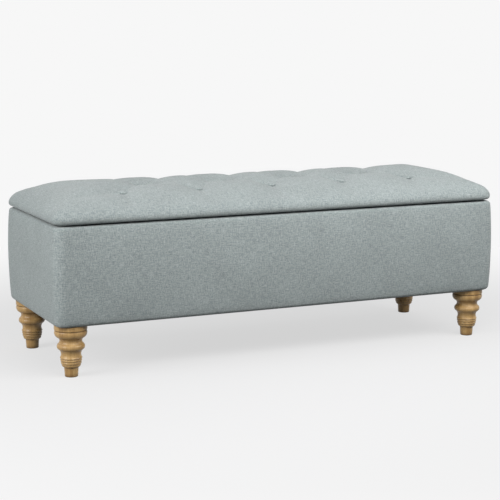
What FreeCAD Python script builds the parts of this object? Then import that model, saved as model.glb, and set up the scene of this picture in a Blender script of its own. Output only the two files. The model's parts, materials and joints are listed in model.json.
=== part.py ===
import FreeCAD, Part
import os
import re

import Sketcher
from FreeCAD import Placement, Rotation, Vector

# Storage ottoman: an upholstered box on four turned legs, with a tufted lid that is hinged along
# the back and carried by two gas struts. Millimetres. The origin is on the floor, under the middle
# of the box: +X runs along its length, -Y is the front and +Z is up.

# Each size that can be set by itself. The cells of the sheet hold these numbers.
SIZES = {
    # Upholstered box
    "body_width": 1280.0,
    "body_depth": 450.0,
    "rim_height": 390.5,
    "cover_thick": 1.0,
    "pad_thick": 12.0,
    "panel_thick": 15.0,
    "corner_radius": 22.0,
    "rim_radius": 7.0,
    "hem_radius": 10.0,
    "hem_width": 38.0,
    "floor_rise": 28.0,
    "floor_thick": 12.0,
    "lining_thick": 1.0,
    "block_side": 60.0,
    "batten_width": 20.0,
    # Turned legs and what holds them
    "leg_height": 135.0,
    "leg_inset": 47.0,
    "leg_top_radius": 42.5,
    "foot_radius": 17.0,
    "bolt_radius": 4.0,
    "bolt_depth": 43.0,
    "bolt_reach": 24.0,
    "nut_radius": 5.5,
    "nut_flange_radius": 11.0,
    "nut_flange_thick": 1.5,
    # Lid
    "lid_gap": 4.0,
    "lid_overhang": 1.0,
    "board_thick": 15.0,
    "board_inset": 14.0,
    "board_corner": 27.0,
    "cushion_height": 85.5,
    "cushion_corner": 22.0,
    "lid_hem_width": 34.0,
    # Tufts
    "tuft_pitch": 213.0,
    "tuft_row_gap": 112.5,
    "outer_tuft_floor": 62.0,
    "middle_tuft_floor": 50.0,
    "tuft_radius": 13.0,
    "button_radius": 12.5,
    "button_height": 6.0,
    "button_dome_radius": 16.0,
    "tie_radius": 0.8,
    "washer_radius": 7.0,
    "washer_thick": 2.0,
    # Butt hinges
    "hinge_out": 3.0,
    "hinge_split": 0.5,
    "hinge_pitch": 450.0,
    "hinge_length": 60.0,
    "leaf_thick": 1.5,
    "leaf_width": 27.0,
    "barrel_radius": 3.5,
    "pin_radius": 1.6,
    "pin_head": 1.0,
    "knuckle_length": 20.0,
    "screw_radius": 1.6,
    "screw_head_radius": 3.1,
    "screw_length": 15.0,
    "screw_pitch": 21.0,
    # Gas struts: where their studs stand, measured from the hinge axis
    "strut_base_reach": 60.0,
    "strut_base_drop": 190.0,
    "strut_lid_reach": 200.0,
    "strut_lid_drop": 22.0,
    "strut_inset": 15.0,
    "tube_radius": 9.0,
    "tube_bore": 5.5,
    "tube_length": 200.0,
    "gland_radius": 5.0,
    "gland_length": 8.0,
    "rod_radius": 4.0,
    "rod_length": 196.0,
    "eye_radius": 8.0,
    "eye_width": 12.0,
    "neck_radius": 5.0,
    "neck_length": 20.0,
    "stud_radius": 4.0,
    "stud_cap_radius": 6.0,
    "stud_cap_thick": 2.0,
    "bracket_thick": 2.0,
    "bracket_width": 24.0,
    "bracket_length": 52.0,
    "tab_gap": 3.0,
    # Rubber buffers under the front of the lid
    "buffer_radius": 8.0,
    "buffer_inset": 80.0,
    # Clearances
    "slip": 0.05,
    "free_gap": 0.3,
}

# The cushion's outline: share of its height, and how far the side has drawn in there, as drawn
# for a lid of this half depth.
CUSHION_HALF_DEPTH = 226.0
CUSHION_PROFILE = (
    (0.0, 12.0),
    (0.11, 0.0),
    (0.26, 0.0),
    (0.39, 14.0),
    (0.51, 34.0),
    (0.65, 66.0),
    (0.85, 124.0),
    (0.97, 165.0),
    (1.0, 200.0),
)

# Tufts in a diamond pattern: row name, its place in row gaps, and its tufts in pitches.
TUFT_ROWS = (
    ("front", -1, "outer_tuft_floor", (-2, -1, 0, 1, 2)),
    ("middle", 0, "middle_tuft_floor", (-1.5, -0.5, 0.5, 1.5)),
    ("back", 1, "outer_tuft_floor", (-2, -1, 0, 1, 2)),
)

SIDES = (("left", -1), ("right", 1))
ENDS = (("front", -1), ("back", 1))

# Derived places, as expressions on the cells.
HALF_X = "(body_width / 2)"
HALF_Y = "(body_depth / 2)"
PAD_X = f"({HALF_X} - cover_thick)"
PAD_Y = f"({HALF_Y} - cover_thick)"
PANEL_X = f"({PAD_X} - pad_thick)"
PANEL_Y = f"({PAD_Y} - pad_thick)"
INSIDE_X = f"({PANEL_X} - panel_thick)"
INSIDE_Y = f"({PANEL_Y} - panel_thick)"
LINED_X = f"({INSIDE_X} - lining_thick)"
LINED_Y = f"({INSIDE_Y} - lining_thick)"
PANEL_BOTTOM = "(leg_height + cover_thick)"
PANEL_TOP = "(rim_height - cover_thick)"
FLOOR_BOTTOM = "(leg_height + floor_rise)"
FLOOR_TOP = f"({FLOOR_BOTTOM} + floor_thick)"
LID_BOTTOM = "(rim_height + lid_gap)"
BOARD_BOTTOM = f"({LID_BOTTOM} + cover_thick)"
BOARD_TOP = f"({BOARD_BOTTOM} + board_thick)"
BOARD_X = f"({HALF_X} + lid_overhang - board_inset)"
BOARD_Y = f"({HALF_Y} + lid_overhang - board_inset)"
AXIS_Y = f"({HALF_Y} + hinge_out)"
AXIS_Z = "(rim_height + lid_gap / 2)"
SCREW_Y = f"({PANEL_Y} - panel_thick / 2)"
LEAF_EDGE_Y = f"({AXIS_Y} - barrel_radius - 2 * free_gap)"
STRUT_X = f"({LINED_X} - strut_inset)"
EYE_IN_X = f"({STRUT_X} - eye_width / 2)"
EYE_OUT_X = f"({STRUT_X} + eye_width / 2)"
BASE_STUD_Y = f"({AXIS_Y} - strut_base_reach)"
BASE_STUD_Z = f"({AXIS_Z} - strut_base_drop)"
LID_STUD_Y = f"({AXIS_Y} - strut_lid_reach)"
LID_STUD_Z = f"({AXIS_Z} - strut_lid_drop)"
STRUT_TILT = (
    "atan2(strut_lid_reach - strut_base_reach; strut_base_drop - strut_lid_drop)"
)

doc = FreeCAD.newDocument("StorageOttoman")
sheet = doc.addObject("Spreadsheet::Sheet", "Dims")
for row, (alias, number) in enumerate(SIZES.items(), start=1):
    sheet.set(f"A{row}", alias)
    sheet.set(f"B{row}", str(number))
    sheet.setAlias(f"B{row}", alias)
doc.recompute()

ALIAS = re.compile(r"\b(" + "|".join(SIZES) + r")\b")
nodes = []
cuts = []


def bind(thing, prop, text):
    """Bind a property to an expression on the sheet's cells."""
    thing.setExpression(prop, ALIAS.sub(r"Dims.\1", text))


def cell(alias):
    """Read one cell of the sheet as a number."""
    return float(sheet.get(alias))


def node(thing, name):
    """Name a finished sub-part. Its label is the name of its file."""
    thing.Label = name
    nodes.append(thing)
    return thing


def mirrored(sign, low, high):
    """The range low..high on the +X or +Y side, or its mirror image."""
    return (low, high) if sign > 0 else (f"-{high}", f"-{low}")


def block(name, x, y, z):
    """A box over three ranges, each a pair of expressions."""
    box = doc.addObject("Part::Box", name)
    for prop, corner, (low, high) in zip(("Length", "Width", "Height"), "xyz", (x, y, z)):
        bind(box, prop, f"({high}) - ({low})")
        bind(box, f"Placement.Base.{corner}", low)
    return box


def round_z(name, radius, x, y, z):
    """An upright cylinder over the height range z."""
    bar = doc.addObject("Part::Cylinder", name)
    bind(bar, "Radius", radius)
    bind(bar, "Height", f"({z[1]}) - ({z[0]})")
    for corner, text in zip("xyz", (x, y, z[0])):
        bind(bar, f"Placement.Base.{corner}", text)
    return bar


def round_x(name, radius, x, y, z):
    """A cylinder along X over the range x."""
    bar = doc.addObject("Part::Cylinder", name)
    bar.Placement = Placement(Vector(), Rotation(Vector(0, 1, 0), 90))
    bind(bar, "Radius", radius)
    bind(bar, "Height", f"({x[1]}) - ({x[0]})")
    for corner, text in zip("xyz", (x[0], y, z)):
        bind(bar, f"Placement.Base.{corner}", text)
    return bar


def cone_z(name, low_radius, high_radius, x, y, z):
    """An upright cone over the height range z."""
    cone = doc.addObject("Part::Cone", name)
    bind(cone, "Radius1", low_radius)
    bind(cone, "Radius2", high_radius)
    bind(cone, "Height", f"({z[1]}) - ({z[0]})")
    for corner, text in zip("xyz", (x, y, z[0])):
        bind(cone, f"Placement.Base.{corner}", text)
    return cone


def fuse(name, shapes):
    """One solid from shapes that meet."""
    whole = doc.addObject("Part::MultiFuse", name)
    whole.Shapes = shapes
    whole.Refine = True
    return whole


def group(name, shapes):
    """Several solids in one sub-part."""
    whole = doc.addObject("Part::Compound", name)
    whole.Links = shapes
    return whole


def cut(name, base, tools):
    """The base less its tools. Every cut is checked later for having removed something."""
    rest = doc.addObject("Part::Cut", name)
    rest.Base = base
    rest.Tool = tools[0] if len(tools) == 1 else group(f"{name}_tools", tools)
    cuts.append(rest)
    return rest


def common(name, first, second):
    """What two shapes share."""
    shared = doc.addObject("Part::Common", name)
    shared.Base = first
    shared.Tool = second
    return shared


def sketch_in(body, role, name):
    """A sketch on one of a body's own origin planes."""
    sketch = body.newObject("Sketcher::SketchObject", name)
    plane = next(f for f in body.Origin.OriginFeatures if f.Role == role)
    sketch.AttachmentSupport = [(plane, "")]
    sketch.MapMode = "FlatFace"
    return sketch


def outline_rectangle(sketch, half_x, half_y):
    """A rectangle about the sketch's origin, with its corners bound to the cells."""
    corners = ((-1, -1), (1, -1), (1, 1), (-1, 1))
    for i, (x, y) in enumerate(corners):
        after = corners[(i + 1) % 4]
        sketch.addGeometry(Part.LineSegment(Vector(x, y, 0), Vector(*after, 0)), False)
    for i, (x, y) in enumerate(corners):
        sketch.addConstraint(Sketcher.Constraint("Coincident", i, 2, (i + 1) % 4, 1))
        for kind, sign, half in (("DistanceX", x, half_x), ("DistanceY", y, half_y)):
            index = sketch.addConstraint(Sketcher.Constraint(kind, -1, 1, i, 1, sign))
            bind(sketch, f"Constraints[{index}]", half if sign > 0 else f"-{half}")


def edges_where(shape, test):
    """Names of the edges whose every end passes the test."""
    return [
        f"Edge{i}"
        for i, edge in enumerate(shape.Edges, start=1)
        if all(test(v.Point) for v in edge.Vertexes)
    ]


def upright_edges(shape):
    """Names of the straight edges that run along Z."""
    return [
        f"Edge{i}"
        for i, edge in enumerate(shape.Edges, start=1)
        if abs(edge.Vertexes[0].Z - edge.Vertexes[-1].Z) > 1.0
    ]


def round_edges(body, base, names, radius, name):
    """A fillet in a body, with its radius bound to the cells."""
    fillet = body.newObject("PartDesign::Fillet", name)
    fillet.Base = (base, names)
    bind(fillet, "Radius", radius)
    body.Tip = fillet
    doc.recompute()
    return fillet


def corner_rounded(name, base, radius):
    """A box with its four upright edges rounded."""
    doc.recompute()
    rounded = doc.addObject("Part::Fillet", name)
    rounded.Base = base
    upright = [int(edge.removeprefix("Edge")) for edge in upright_edges(base.Shape)]
    rounded.Edges = [(edge, radius, radius) for edge in upright]
    return rounded


def soft_block(name, inset):
    """The upholstered box's outer form, drawn in by an inset, with every edge rounded."""
    body = doc.addObject("PartDesign::Body", name)
    sketch = sketch_in(body, "XY_Plane", f"{name}_outline")
    bind(sketch, "AttachmentOffset.Base.z", f"leg_height + {inset}")
    outline_rectangle(sketch, f"({HALF_X} - {inset})", f"({HALF_Y} - {inset})")
    pad = body.newObject("PartDesign::Pad", f"{name}_pad")
    pad.Profile = sketch
    bind(pad, "Length", f"rim_height - leg_height - 2 * {inset}")
    doc.recompute()
    low, high = pad.Shape.BoundBox.ZMin, pad.Shape.BoundBox.ZMax
    last = round_edges(
        body, pad, upright_edges(pad.Shape), f"corner_radius - {inset}", f"{name}_corners"
    )
    top = edges_where(last.Shape, lambda p: abs(p.z - high) < 0.01)
    last = round_edges(body, last, top, f"rim_radius - {inset}", f"{name}_rim")
    bottom = edges_where(last.Shape, lambda p: abs(p.z - low) < 0.01)
    round_edges(body, last, bottom, f"hem_radius - {inset}", f"{name}_hem")
    return body


def base_screw_ways(name):
    """The holes that the rim's hinge screws run in."""
    return [screw(f"{name}_way_{i}", "slip", *spot, 1) for i, spot in enumerate(screw_spots())]


def make_panels():
    """Board carcass: front and back run through, and the ends stand between them."""
    height = (PANEL_BOTTOM, PANEL_TOP)
    for name, sign in ENDS:
        y = mirrored(sign, INSIDE_Y, PANEL_Y)
        panel = block(f"{name}_board", (f"-{PANEL_X}", PANEL_X), y, height)
        if sign > 0:
            panel = cut("back_bored", panel, base_screw_ways("panel"))
        node(panel, f"{name}_panel")
    for name, sign in SIDES:
        x = mirrored(sign, INSIDE_X, PANEL_X)
        node(block(f"{name}_board", x, (f"-{INSIDE_Y}", INSIDE_Y), height), f"{name}_end_panel")
    floor = block(
        "floor_board",
        (f"-{INSIDE_X}", INSIDE_X),
        (f"-{INSIDE_Y}", INSIDE_Y),
        (FLOOR_BOTTOM, FLOOR_TOP),
    )
    node(floor, "bottom_panel")


def make_floor_frame():
    """Corner blocks that take the legs, and battens between them under the bottom panel."""
    height = (PANEL_BOTTOM, FLOOR_BOTTOM)
    for end, sign_y in ENDS:
        y = mirrored(sign_y, f"({INSIDE_Y} - batten_width)", INSIDE_Y)
        reach = f"({INSIDE_X} - block_side)"
        node(block(f"{end}_bar", (f"-{reach}", reach), y, height), f"{end}_batten")
        for side, sign_x in SIDES:
            corner = f"{end}_{side}"
            solid = block(
                f"{corner}_cube",
                mirrored(sign_x, f"({INSIDE_X} - block_side)", INSIDE_X),
                mirrored(sign_y, f"({INSIDE_Y} - block_side)", INSIDE_Y),
                height,
            )
            x, y_leg = leg_place(sign_x, sign_y)
            flange = f"{FLOOR_BOTTOM} - nut_flange_thick"
            barrel = round_z(
                f"{corner}_nut_way", "nut_radius + slip", x, y_leg, (PANEL_BOTTOM, flange)
            )
            seat = round_z(
                f"{corner}_nut_seat",
                "nut_flange_radius + slip",
                x,
                y_leg,
                (flange, FLOOR_BOTTOM),
            )
            bored = cut(f"{corner}_bored", solid, [fuse(f"{corner}_nut_room", [barrel, seat])])
            node(bored, f"corner_block_{corner}")


def make_padding():
    """Wadding round the carcass: front and back turn the corners, and the ends fill between."""
    inner = soft_block("pad_form", "cover_thick")
    height = (PANEL_BOTTOM, PANEL_TOP)
    turn = f"({PANEL_Y} - corner_radius)"
    for name, sign in ENDS:
        room = block(
            f"{name}_pad_room", (f"-{PAD_X}", PAD_X), mirrored(sign, turn, PAD_Y), height
        )
        core = block(
            f"{name}_pad_core",
            (f"-{PANEL_X}", PANEL_X),
            mirrored(sign, f"({turn} - 1)", PANEL_Y),
            (f"{PANEL_BOTTOM} - 1", f"{PANEL_TOP} + 1"),
        )
        slab = common(f"{name}_pad_slab", inner, room)
        node(cut(f"{name}_pad_cut", slab, [core]), f"{name}_padding")
    for name, sign in SIDES:
        room = block(
            f"{name}_pad_room", mirrored(sign, PANEL_X, PAD_X), (f"-{turn}", turn), height
        )
        node(common(f"{name}_pad_slab", inner, room), f"{name}_end_padding")


def make_body_cover():
    """Fabric over the box: turned in over the rim, and hemmed under the bottom edge."""
    outer = soft_block("cover_form", "0")
    inner = soft_block("cover_core", "cover_thick")
    mouth = block(
        "cover_mouth",
        (f"-{LINED_X}", LINED_X),
        (f"-{LINED_Y}", LINED_Y),
        (PANEL_TOP, "rim_height + 1"),
    )
    under = block(
        "cover_under",
        (f"-({HALF_X} - hem_width)", f"({HALF_X} - hem_width)"),
        (f"-({HALF_Y} - hem_width)", f"({HALF_Y} - hem_width)"),
        ("leg_height - 1", PANEL_BOTTOM),
    )
    holes = base_screw_ways("cover")
    node(cut("body_skin", outer, [inner, mouth, under, *holes]), "body_cover")


def make_lining():
    """Fabric lining of the storage box, and the dust cover under it."""
    outer = block(
        "lining_form",
        (f"-{INSIDE_X}", INSIDE_X),
        (f"-{INSIDE_Y}", INSIDE_Y),
        (FLOOR_TOP, PANEL_TOP),
    )
    inner = block(
        "lining_core",
        (f"-{LINED_X}", LINED_X),
        (f"-{LINED_Y}", LINED_Y),
        (f"{FLOOR_TOP} + lining_thick", f"{PANEL_TOP} + 1"),
    )
    node(cut("lining_skin", outer, [inner]), "storage_lining")
    sheet_x = f"({HALF_X} - hem_width - free_gap)"
    sheet_y = f"({HALF_Y} - hem_width - free_gap)"
    sheet_z = ("leg_height", PANEL_BOTTOM)
    sheet_block = block("dust_sheet", (f"-{sheet_x}", sheet_x), (f"-{sheet_y}", sheet_y), sheet_z)
    holes = [
        round_z(f"dust_hole_{i}", "bolt_radius + free_gap", *leg_place(*signs), sheet_z)
        for i, signs in enumerate(corner_signs())
    ]
    node(cut("dust_skin", sheet_block, holes), "dust_cover")


def corner_signs():
    """The signs of X and Y at the four corners."""
    return [(sign_x, sign_y) for _, sign_y in ENDS for _, sign_x in SIDES]


def leg_place(sign_x, sign_y):
    """A leg's axis, as expressions."""
    return f"{sign_x} * ({HALF_X} - leg_inset)", f"{sign_y} * ({HALF_Y} - leg_inset)"


def leg_outline():
    """The turned profile, foot first: each step is an end point, and a middle one for an arc."""
    top = cell("leg_height")
    foot = cell("foot_radius")
    wide = cell("leg_top_radius")
    share = top / 135.0
    heights = {
        "foot": 25.0,
        "low_bead": 33.0,
        "middle_bead": 40.0,
        "high_bead": 46.5,
        "flare": 50.0,
        "undercut": 68.5,
        "lip": 71.0,
        "ring": 86.5,
        "neck": 102.0,
        "bulb": 120.5,
        "groove": 122.0,
        "cap": 123.5,
    }
    at = {name: share * height for name, height in heights.items()}

    def between(low, high):
        return (at[low] + at[high]) / 2

    bead = foot + 8.0
    flare = foot + 11.5
    steps = [
        ((foot, 1.0), None),
        ((foot + 1.5, at["foot"]), None),
        ((bead - 0.5, at["low_bead"]), (bead - 1.0, between("foot", "low_bead"))),
        ((bead + 0.75, at["middle_bead"]), (bead + 1.5, between("low_bead", "middle_bead"))),
        ((bead + 1.75, at["high_bead"]), (bead + 2.5, between("middle_bead", "high_bead"))),
        ((flare, at["flare"]), None),
        ((flare + 0.25, at["undercut"]), (flare - 2.75, between("flare", "undercut"))),
        ((flare + 2.5, at["lip"]), None),
        ((flare + 4.0, at["ring"]), (wide - 6.5, between("lip", "ring"))),
        ((flare + 5.0, at["neck"]), (flare + 0.5, between("ring", "neck"))),
        ((wide - 1.25, at["bulb"]), (wide - 0.5, between("neck", "bulb") + 1.5 * share)),
        ((wide - 2.5, at["groove"]), None),
        ((wide, at["cap"]), None),
        ((wide, top), None),
    ]
    return steps


def turned_leg(name):
    """A leg about its own axis: a revolved profile with a pilot bore in its top."""
    body = doc.addObject("PartDesign::Body", name)
    sketch = sketch_in(body, "XZ_Plane", f"{name}_profile")
    points = [Vector(0, 0, 0), Vector(cell("foot_radius") - 1.0, 0, 0)]
    pieces = [Part.LineSegment(points[0], points[1])]
    here = points[1]
    for end, middle in leg_outline():
        there = Vector(end[0], end[1], 0)
        if middle is None:
            pieces.append(Part.LineSegment(here, there))
        else:
            pieces.append(Part.Arc(here, Vector(middle[0], middle[1], 0), there))
        here = there
    top = Vector(0, here.y, 0)
    pieces.append(Part.LineSegment(here, top))
    pieces.append(Part.LineSegment(top, points[0]))
    for piece in pieces:
        sketch.addGeometry(piece, False)
    turned = body.newObject("PartDesign::Revolution", f"{name}_turned")
    turned.Profile = sketch
    turned.ReferenceAxis = (sketch, ["V_Axis"])
    turned.Angle = 360.0
    body.Tip = turned
    return body


def make_legs():
    """Four legs, each with its hanger bolt and the tee nut that the bolt screws into."""
    for end, sign_y in ENDS:
        for side, sign_x in SIDES:
            corner = f"{end}_{side}"
            x, y = leg_place(sign_x, sign_y)
            form = turned_leg(f"{corner}_turning")
            bore = round_z(
                f"{corner}_pilot",
                "bolt_radius + slip",
                "0",
                "0",
                ("leg_height - bolt_depth - 2", "leg_height + 1"),
            )
            leg = node(cut(f"{corner}_bored_leg", form, [bore]), f"leg_{corner}")
            bind(leg, "Placement.Base.x", x)
            bind(leg, "Placement.Base.y", y)
            bolt = round_z(
                f"{corner}_bolt",
                "bolt_radius",
                x,
                y,
                ("leg_height - bolt_depth", "leg_height + bolt_reach"),
            )
            node(bolt, f"hanger_bolt_{corner}")
            seat = f"({FLOOR_BOTTOM} - nut_flange_thick)"
            barrel = round_z(f"{corner}_barrel", "nut_radius", x, y, (PANEL_BOTTOM, seat))
            flange = round_z(
                f"{corner}_flange", "nut_flange_radius", x, y, (seat, FLOOR_BOTTOM)
            )
            way = round_z(
                f"{corner}_thread",
                "bolt_radius + slip",
                x,
                y,
                ("leg_height", f"{FLOOR_BOTTOM} + 1"),
            )
            nut = cut(f"{corner}_nut", fuse(f"{corner}_nut_blank", [barrel, flange]), [way])
            node(nut, f"tee_nut_{corner}")


def cushion_form(name, inset, raise_bottom):
    """The lid's upholstered form: rounded rectangles lofted up the cushion's profile."""
    bottom = cell("rim_height") + cell("lid_gap")
    height = cell("cushion_height")
    scale = (cell("body_depth") / 2 + cell("lid_overhang")) / CUSHION_HALF_DEPTH
    sections = []
    for share, drawn_for_depth in CUSHION_PROFILE:
        drawn_in = scale * drawn_for_depth
        z = bottom + share * height
        if share == 0.0:
            z += raise_bottom
        if share == 1.0:
            z -= inset
        half_x = cell("body_width") / 2 + cell("lid_overhang") - drawn_in - inset
        half_y = cell("body_depth") / 2 + cell("lid_overhang") - drawn_in - inset
        radius = min(cell("cushion_corner") + drawn_in / 2, half_y - 1.0)
        sections.append(rounded_rectangle(half_x, half_y, radius, z))
    form = doc.addObject("Part::Feature", name)
    form.Shape = Part.makeLoft(sections, True, True)
    return form


def rounded_rectangle(half_x, half_y, radius, z):
    """A closed wire of four sides and four quarter rounds, about the Z axis."""
    diagonal = radius * (1.0 - 0.5**0.5)
    edges = []
    quarters = ((1, -1), (1, 1), (-1, 1), (-1, -1))
    for i, (x, y) in enumerate(quarters):
        along_x = Vector(x * (half_x - radius), y * half_y, z)
        along_y = Vector(x * half_x, y * (half_y - radius), z)
        middle = Vector(x * (half_x - diagonal), y * (half_y - diagonal), z)
        start, end = (along_x, along_y) if i % 2 == 0 else (along_y, along_x)
        edges.append(Part.Arc(start, middle, end).toShape())
        after = quarters[(i + 1) % 4]
        if i % 2 == 0:
            far = Vector(after[0] * half_x, after[1] * (half_y - radius), z)
        else:
            far = Vector(after[0] * (half_x - radius), after[1] * half_y, z)
        edges.append(Part.LineSegment(end, far).toShape())
    return Part.Wire(edges)


def tufts():
    """Every tuft as its row, its place as expressions and the height of its floor."""
    for row, gaps, floor, pitches in TUFT_ROWS:
        for pitch in pitches:
            x = f"({pitch} * tuft_pitch)"
            y = f"({gaps} * tuft_row_gap)"
            yield row, x, y, f"({LID_BOTTOM} + {floor})"


def tuft_button(name, x, y, floor):
    """A covered button: a disc with a domed face, standing on the floor of its dip."""
    disc = round_z(f"{name}_disc", "button_radius", x, y, (floor, f"{floor} + button_height"))
    ball = doc.addObject("Part::Sphere", f"{name}_ball")
    bind(ball, "Radius", "button_dome_radius")
    bind(ball, "Placement.Base.x", x)
    bind(ball, "Placement.Base.y", y)
    bind(ball, "Placement.Base.z", f"{floor} + button_height - button_dome_radius")
    return common(name, disc, ball)


def make_lid():
    """Lid board, foam, tufted cover, underside lining, buttons and the ties that hold them."""
    outer = cushion_form("lid_form", 0.0, 0.0)
    inner = cushion_form("lid_core", cell("cover_thick"), cell("cover_thick"))
    across = (f"-{BOARD_X}", BOARD_X)
    sawn = block("lid_blank", across, (f"-{BOARD_Y}", BOARD_Y), (BOARD_BOTTOM, BOARD_TOP))
    plank = corner_rounded("lid_plank", sawn, cell("board_corner"))
    crest = f"{LID_BOTTOM} + cushion_height + 1"
    washer_z = (BOARD_BOTTOM, f"{BOARD_BOTTOM} + washer_thick")
    dips = []
    pits = []
    ways = []
    seats = []
    ties = []
    buttons = {row: [] for row, _, _, _ in TUFT_ROWS}
    for i, (row, x, y, floor) in enumerate(tufts()):
        dips.append(round_z(f"dip_{i}", "tuft_radius", x, y, (floor, crest)))
        pit_z = (f"{floor} - cover_thick", crest)
        pits.append(round_z(f"pit_{i}", "tuft_radius + cover_thick", x, y, pit_z))
        way_z = (BOARD_BOTTOM, f"{floor} + cover_thick")
        ways.append(round_z(f"tie_way_{i}", "tie_radius + free_gap", x, y, way_z))
        seats.append(round_z(f"washer_seat_{i}", "washer_radius + slip", x, y, washer_z))
        washer = round_z(f"washer_{i}", "washer_radius", x, y, washer_z)
        cord = round_z(f"cord_{i}", "tie_radius", x, y, (BOARD_BOTTOM, floor))
        ties.append(fuse(f"tie_{i}", [washer, cord]))
        buttons[row].append(tuft_button(f"button_{i}", x, y, floor))
    screws = [screw(f"lid_way_{i}", "slip", *spot, -1) for i, spot in enumerate(screw_spots())]
    room = cut("foam_room", inner, pits)
    mouth = block(
        "lid_mouth",
        (f"-({HALF_X} - lid_hem_width)", f"({HALF_X} - lid_hem_width)"),
        (f"-({HALF_Y} - lid_hem_width)", f"({HALF_Y} - lid_hem_width)"),
        (f"{LID_BOTTOM} - 1", BOARD_BOTTOM),
    )
    node(cut("lid_skin", outer, [room, mouth, *dips, *ways, *screws]), "lid_cover")
    node(cut("foam_shape", room, [plank, *ways, *screws]), "lid_foam")
    node(cut("lid_plank_bored", plank, [*seats, *ways, *screws]), "lid_board")
    lining = block(
        "lid_sheet",
        (f"-({HALF_X} - lid_hem_width - free_gap)", f"({HALF_X} - lid_hem_width - free_gap)"),
        (f"-({HALF_Y} - lid_hem_width - free_gap)", f"({HALF_Y} - lid_hem_width - free_gap)"),
        (LID_BOTTOM, BOARD_BOTTOM),
    )
    node(lining, "lid_lining")
    node(group("tie_set", ties), "tuft_ties")
    for row, solids in buttons.items():
        node(group(f"{row}_button_set", solids), f"tuft_buttons_{row}")


def screw_spots():
    """Where the hinge screws stand, as expressions: three through each leaf."""
    return [
        (f"({place} * hinge_pitch + {step} * screw_pitch)", SCREW_Y)
        for place in (-1, 0, 1)
        for step in (-1, 0, 1)
    ]


def screw(name, slack, x, y, sign):
    """A countersunk screw from the hinge gap: down into the rim for +1, up into the lid for -1."""
    leaf_face = AXIS_Z + " - hinge_split" if sign > 0 else AXIS_Z + " + hinge_split"
    wide = f"screw_head_radius + {slack}"
    thin = f"screw_radius + {slack}"
    if sign > 0:
        head_z = (f"{leaf_face} - leaf_thick", leaf_face)
        shank_z = (f"{leaf_face} - screw_length", f"{leaf_face} - leaf_thick")
        head = cone_z(f"{name}_head", thin, wide, x, y, head_z)
    else:
        head_z = (leaf_face, f"{leaf_face} + leaf_thick")
        shank_z = (f"{leaf_face} + leaf_thick", f"{leaf_face} + screw_length")
        head = cone_z(f"{name}_head", wide, thin, x, y, head_z)
    return fuse(name, [head, round_z(f"{name}_shank", thin, x, y, shank_z)])


def make_hinge(place, name):
    """A butt hinge: two leaves in the gap under the lid, three knuckles and their pin."""
    middle = f"({place} * hinge_pitch)"
    left_end = f"({middle} - hinge_length / 2)"
    right_end = f"({middle} + hinge_length / 2)"
    inner_low = f"({middle} - knuckle_length / 2)"
    inner_high = f"({middle} + knuckle_length / 2)"
    outer_low = f"({inner_low} - free_gap)"
    outer_high = f"({inner_high} + free_gap)"
    bore = round_x(f"{name}_bore", "pin_radius + slip", (left_end, right_end), AXIS_Y, AXIS_Z)
    for part, sign, spans in (
        ("base", 1, ((left_end, outer_low), (outer_high, right_end))),
        ("lid", -1, ((inner_low, inner_high),)),
    ):
        face = f"({AXIS_Z} - {sign} * hinge_split)"
        back = f"({face} - {sign} * leaf_thick)"
        height = (back, face) if sign > 0 else (face, back)
        plate_y = (f"({AXIS_Y} - barrel_radius - leaf_width)", LEAF_EDGE_Y)
        pieces = [block(f"{name}_{part}_plate", (left_end, right_end), plate_y, height)]
        for i, span in enumerate(spans):
            tongue_y = (LEAF_EDGE_Y, AXIS_Y)
            pieces.append(block(f"{name}_{part}_tongue_{i}", span, tongue_y, height))
            knuckle = round_x(f"{name}_{part}_knuckle_{i}", "barrel_radius", span, AXIS_Y, AXIS_Z)
            pieces.append(knuckle)
        spots = [spot for spot in screw_spots() if f"({place} *" in spot[0]]
        ways = [
            screw(f"{name}_{part}_way_{i}", "slip", *spot, sign) for i, spot in enumerate(spots)
        ]
        leaf = cut(f"{name}_{part}_leaf", fuse(f"{name}_{part}_blank", pieces), [bore, *ways])
        node(leaf, f"{part}_hinge_leaf_{name}")
    low = f"({left_end} - free_gap)"
    high = f"({right_end} + free_gap)"
    shaft = round_x(f"{name}_shaft", "pin_radius", (low, high), AXIS_Y, AXIS_Z)
    heads = [
        round_x(f"{name}_head_{i}", "pin_radius + pin_head", span, AXIS_Y, AXIS_Z)
        for i, span in enumerate(((f"{low} - pin_head", low), (high, f"{high} + pin_head")))
    ]
    node(fuse(f"{name}_pin_shape", [shaft, *heads]), f"hinge_pin_{name}")


def make_hinges():
    """Three hinges along the back, and the screws of both leaves."""
    for place, name in ((-1, "left"), (0, "middle"), (1, "right")):
        make_hinge(place, name)
    for part, sign in (("base", 1), ("lid", -1)):
        solids = [
            screw(f"{part}_screw_{i}", "0", *spot, sign) for i, spot in enumerate(screw_spots())
        ]
        node(group(f"{part}_screw_set", solids), f"{part}_hinge_screws")


def stud(name, sign, plate_x, y, z):
    """A strut's stud on a bracket: shoulder, shank and cap, along X from the plate's face."""
    shank_end = f"({EYE_IN_X} - free_gap)"
    cap_end = f"({shank_end} - stud_cap_thick)"
    shoulder = round_x(
        f"{name}_shoulder",
        "stud_cap_radius",
        mirrored(sign, f"({EYE_OUT_X} + free_gap)", plate_x),
        y,
        z,
    )
    shank = round_x(f"{name}_shank", "stud_radius", mirrored(sign, shank_end, plate_x), y, z)
    cap = round_x(f"{name}_cap", "stud_cap_radius", mirrored(sign, cap_end, shank_end), y, z)
    return [shoulder, shank, cap]


def strut_end(name):
    """The eye and neck at the end of a strut, with the eye about the origin."""
    half = "eye_width / 2"
    eye = round_x(f"{name}_eye", "eye_radius", (f"-{half}", half), "0", "0")
    neck = round_z(f"{name}_neck", "neck_radius", "0", "0", ("0", "neck_length"))
    hole = round_x(f"{name}_hole", "stud_radius + slip", (f"-{half} - 1", f"{half} + 1"), "0", "0")
    return eye, neck, hole


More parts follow.
